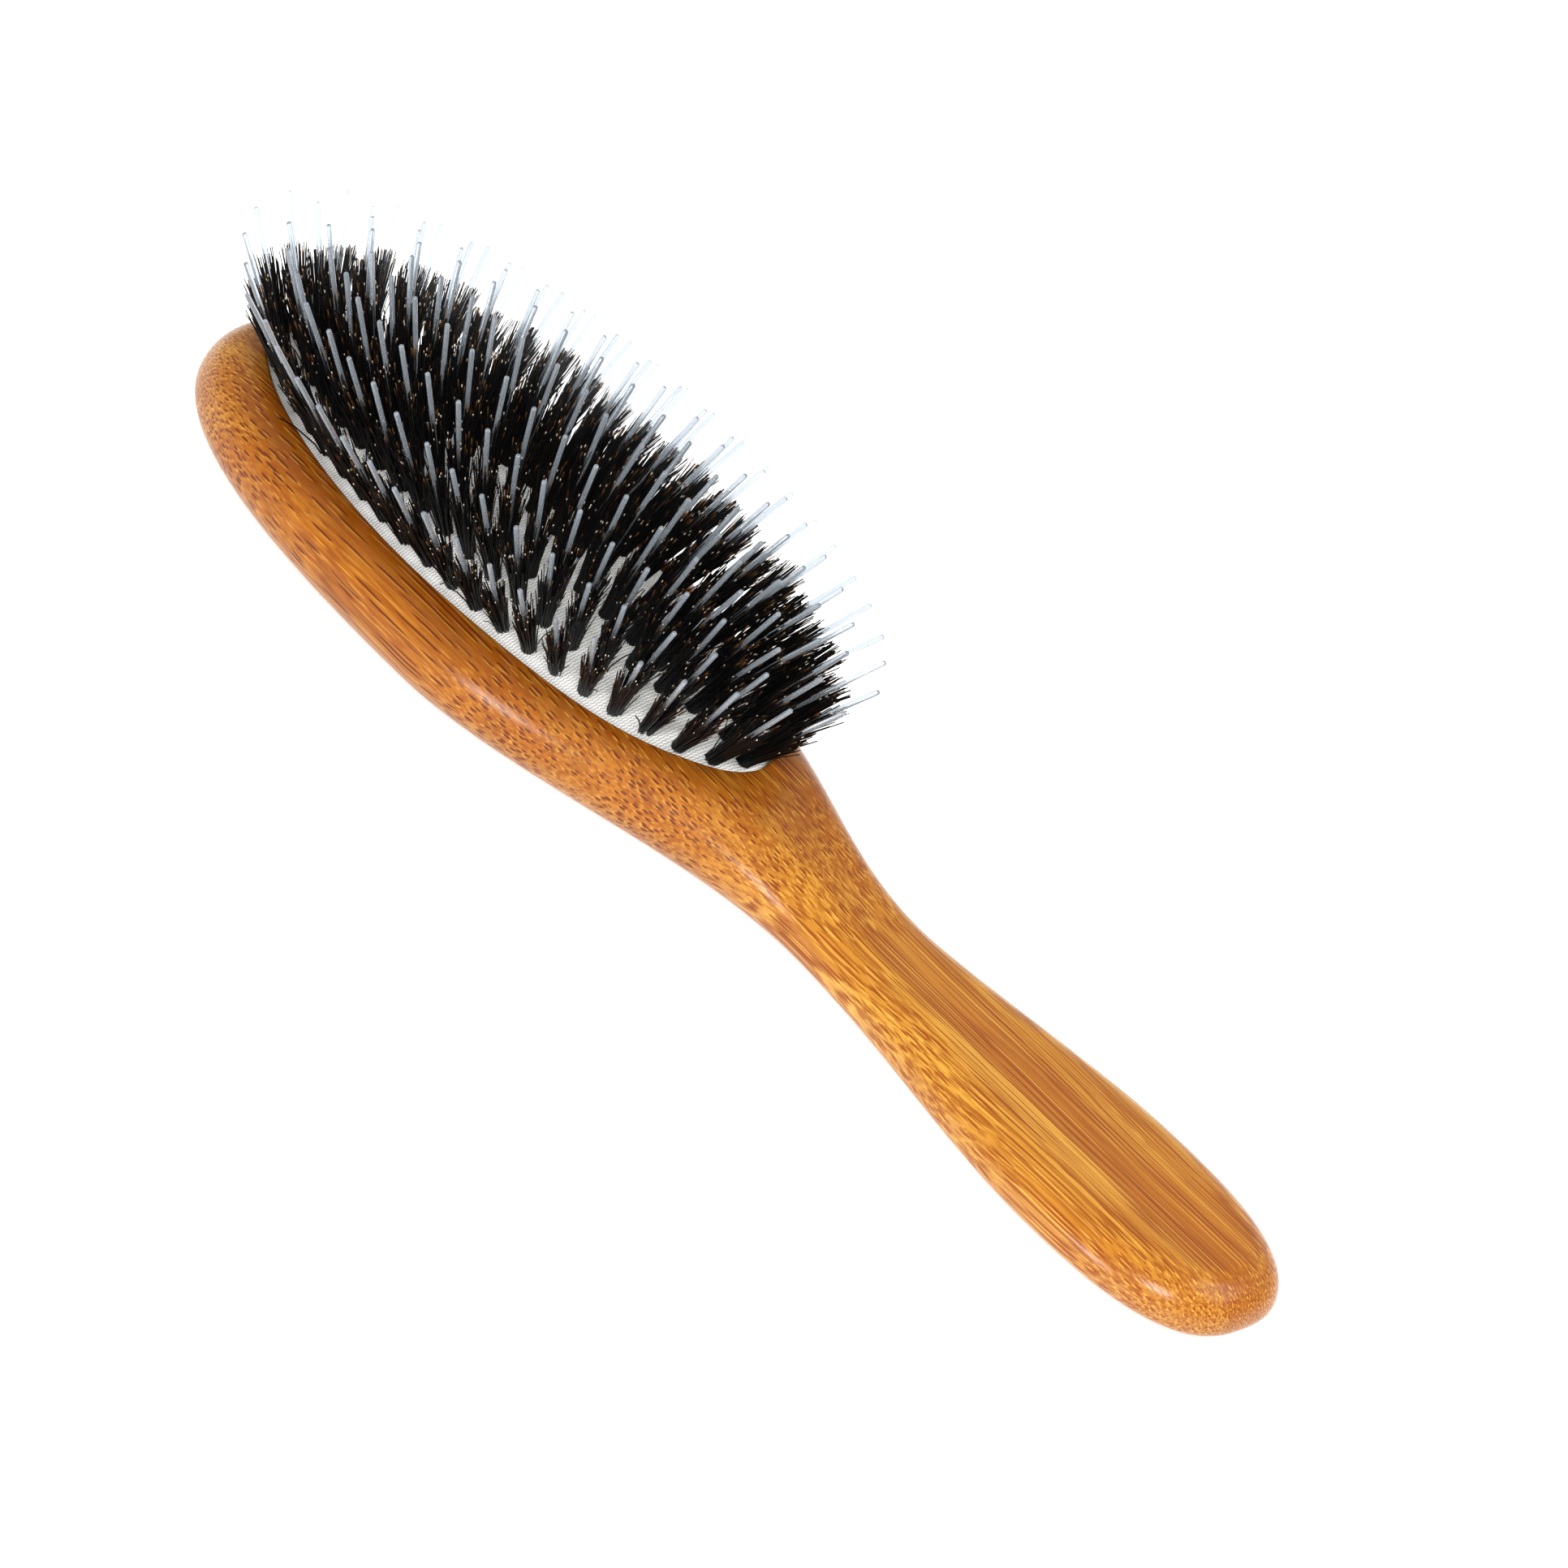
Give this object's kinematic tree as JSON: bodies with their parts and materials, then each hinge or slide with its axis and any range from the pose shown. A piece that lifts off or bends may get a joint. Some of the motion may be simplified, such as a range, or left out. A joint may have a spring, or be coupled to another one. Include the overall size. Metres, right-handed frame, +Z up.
{
  "type": "vanity hairbrush",
  "caption": "Oval bamboo hairbrush with a fabric-faced air cushion that gives, set with boar bristle tufts and a clear nylon pin in each.",
  "frame": {"origin": "on the flat back, under the middle of the whole brush", "axes": "+Z up along the bristles, +X from the head tip to the handle tip, Y across the brush"},
  "size_m": [0.2302, 0.0682, 0.0434],
  "materials": {
    "bamboo": "laminated caramel bamboo, satin lacquer",
    "membrane_rubber": "soft moulded rubber, matt",
    "woven_facing": "off-white ribbed weave",
    "boar_bristle": "natural black boar bristle with brown tips",
    "clear_nylon": "translucent drawn nylon, rounded tips",
    "anchor_plastic": "moulded"
  },
  "bodies": {
    "handle": {"bamboo_body": "bamboo", "cushion_rubber": "membrane_rubber", "cushion_fabric": "woven_facing"},
    "tuft_zone_1": {"boar_tufts_zone_1": "boar_bristle", "nylon_pins_zone_1": "clear_nylon", "tuft_anchors_zone_1": "anchor_plastic"},
    "tuft_zone_2": {"boar_tufts_zone_2": "boar_bristle", "nylon_pins_zone_2": "clear_nylon", "tuft_anchors_zone_2": "anchor_plastic"},
    "tuft_zone_3": {"boar_tufts_zone_3": "boar_bristle", "nylon_pins_zone_3": "clear_nylon", "tuft_anchors_zone_3": "anchor_plastic"},
    "tuft_zone_4": {"boar_tufts_zone_4": "boar_bristle", "nylon_pins_zone_4": "clear_nylon", "tuft_anchors_zone_4": "anchor_plastic"},
    "tuft_zone_5": {"boar_tufts_zone_5": "boar_bristle", "nylon_pins_zone_5": "clear_nylon", "tuft_anchors_zone_5": "anchor_plastic"},
    "tuft_zone_6": {"boar_tufts_zone_6": "boar_bristle", "nylon_pins_zone_6": "clear_nylon", "tuft_anchors_zone_6": "anchor_plastic"}
  },
  "joints": [
    {"name": "cushion_press", "type": "slide", "parent": "handle", "child": "tuft_zone_1", "axis": [0, 0, -1], "range_m": [0, 0.0036], "stiffness_N_per_m": 2500, "deforming": ["cushion_rubber", "cushion_fabric"]},
    {"name": "zone_2_press", "type": "slide", "parent": "handle", "child": "tuft_zone_2", "axis": [0, 0, -1], "range_m": [0, 0.00295]},
    {"name": "zone_3_press", "type": "slide", "parent": "handle", "child": "tuft_zone_3", "axis": [0, 0, -1], "range_m": [0, 0.00247]},
    {"name": "zone_4_press", "type": "slide", "parent": "handle", "child": "tuft_zone_4", "axis": [0, 0, -1], "range_m": [0, 0.00189]},
    {"name": "zone_5_press", "type": "slide", "parent": "handle", "child": "tuft_zone_5", "axis": [0, 0, -1], "range_m": [0, 0.00124]},
    {"name": "zone_6_press", "type": "slide", "parent": "handle", "child": "tuft_zone_6", "axis": [0, 0, -1], "range_m": [0, 0.00062]}
  ],
  "couplings": [
    {"joint": "zone_2_press", "follows": "cushion_press", "ratio": 0.818},
    {"joint": "zone_3_press", "follows": "cushion_press", "ratio": 0.686},
    {"joint": "zone_4_press", "follows": "cushion_press", "ratio": 0.524},
    {"joint": "zone_5_press", "follows": "cushion_press", "ratio": 0.345},
    {"joint": "zone_6_press", "follows": "cushion_press", "ratio": 0.172}
  ]
}
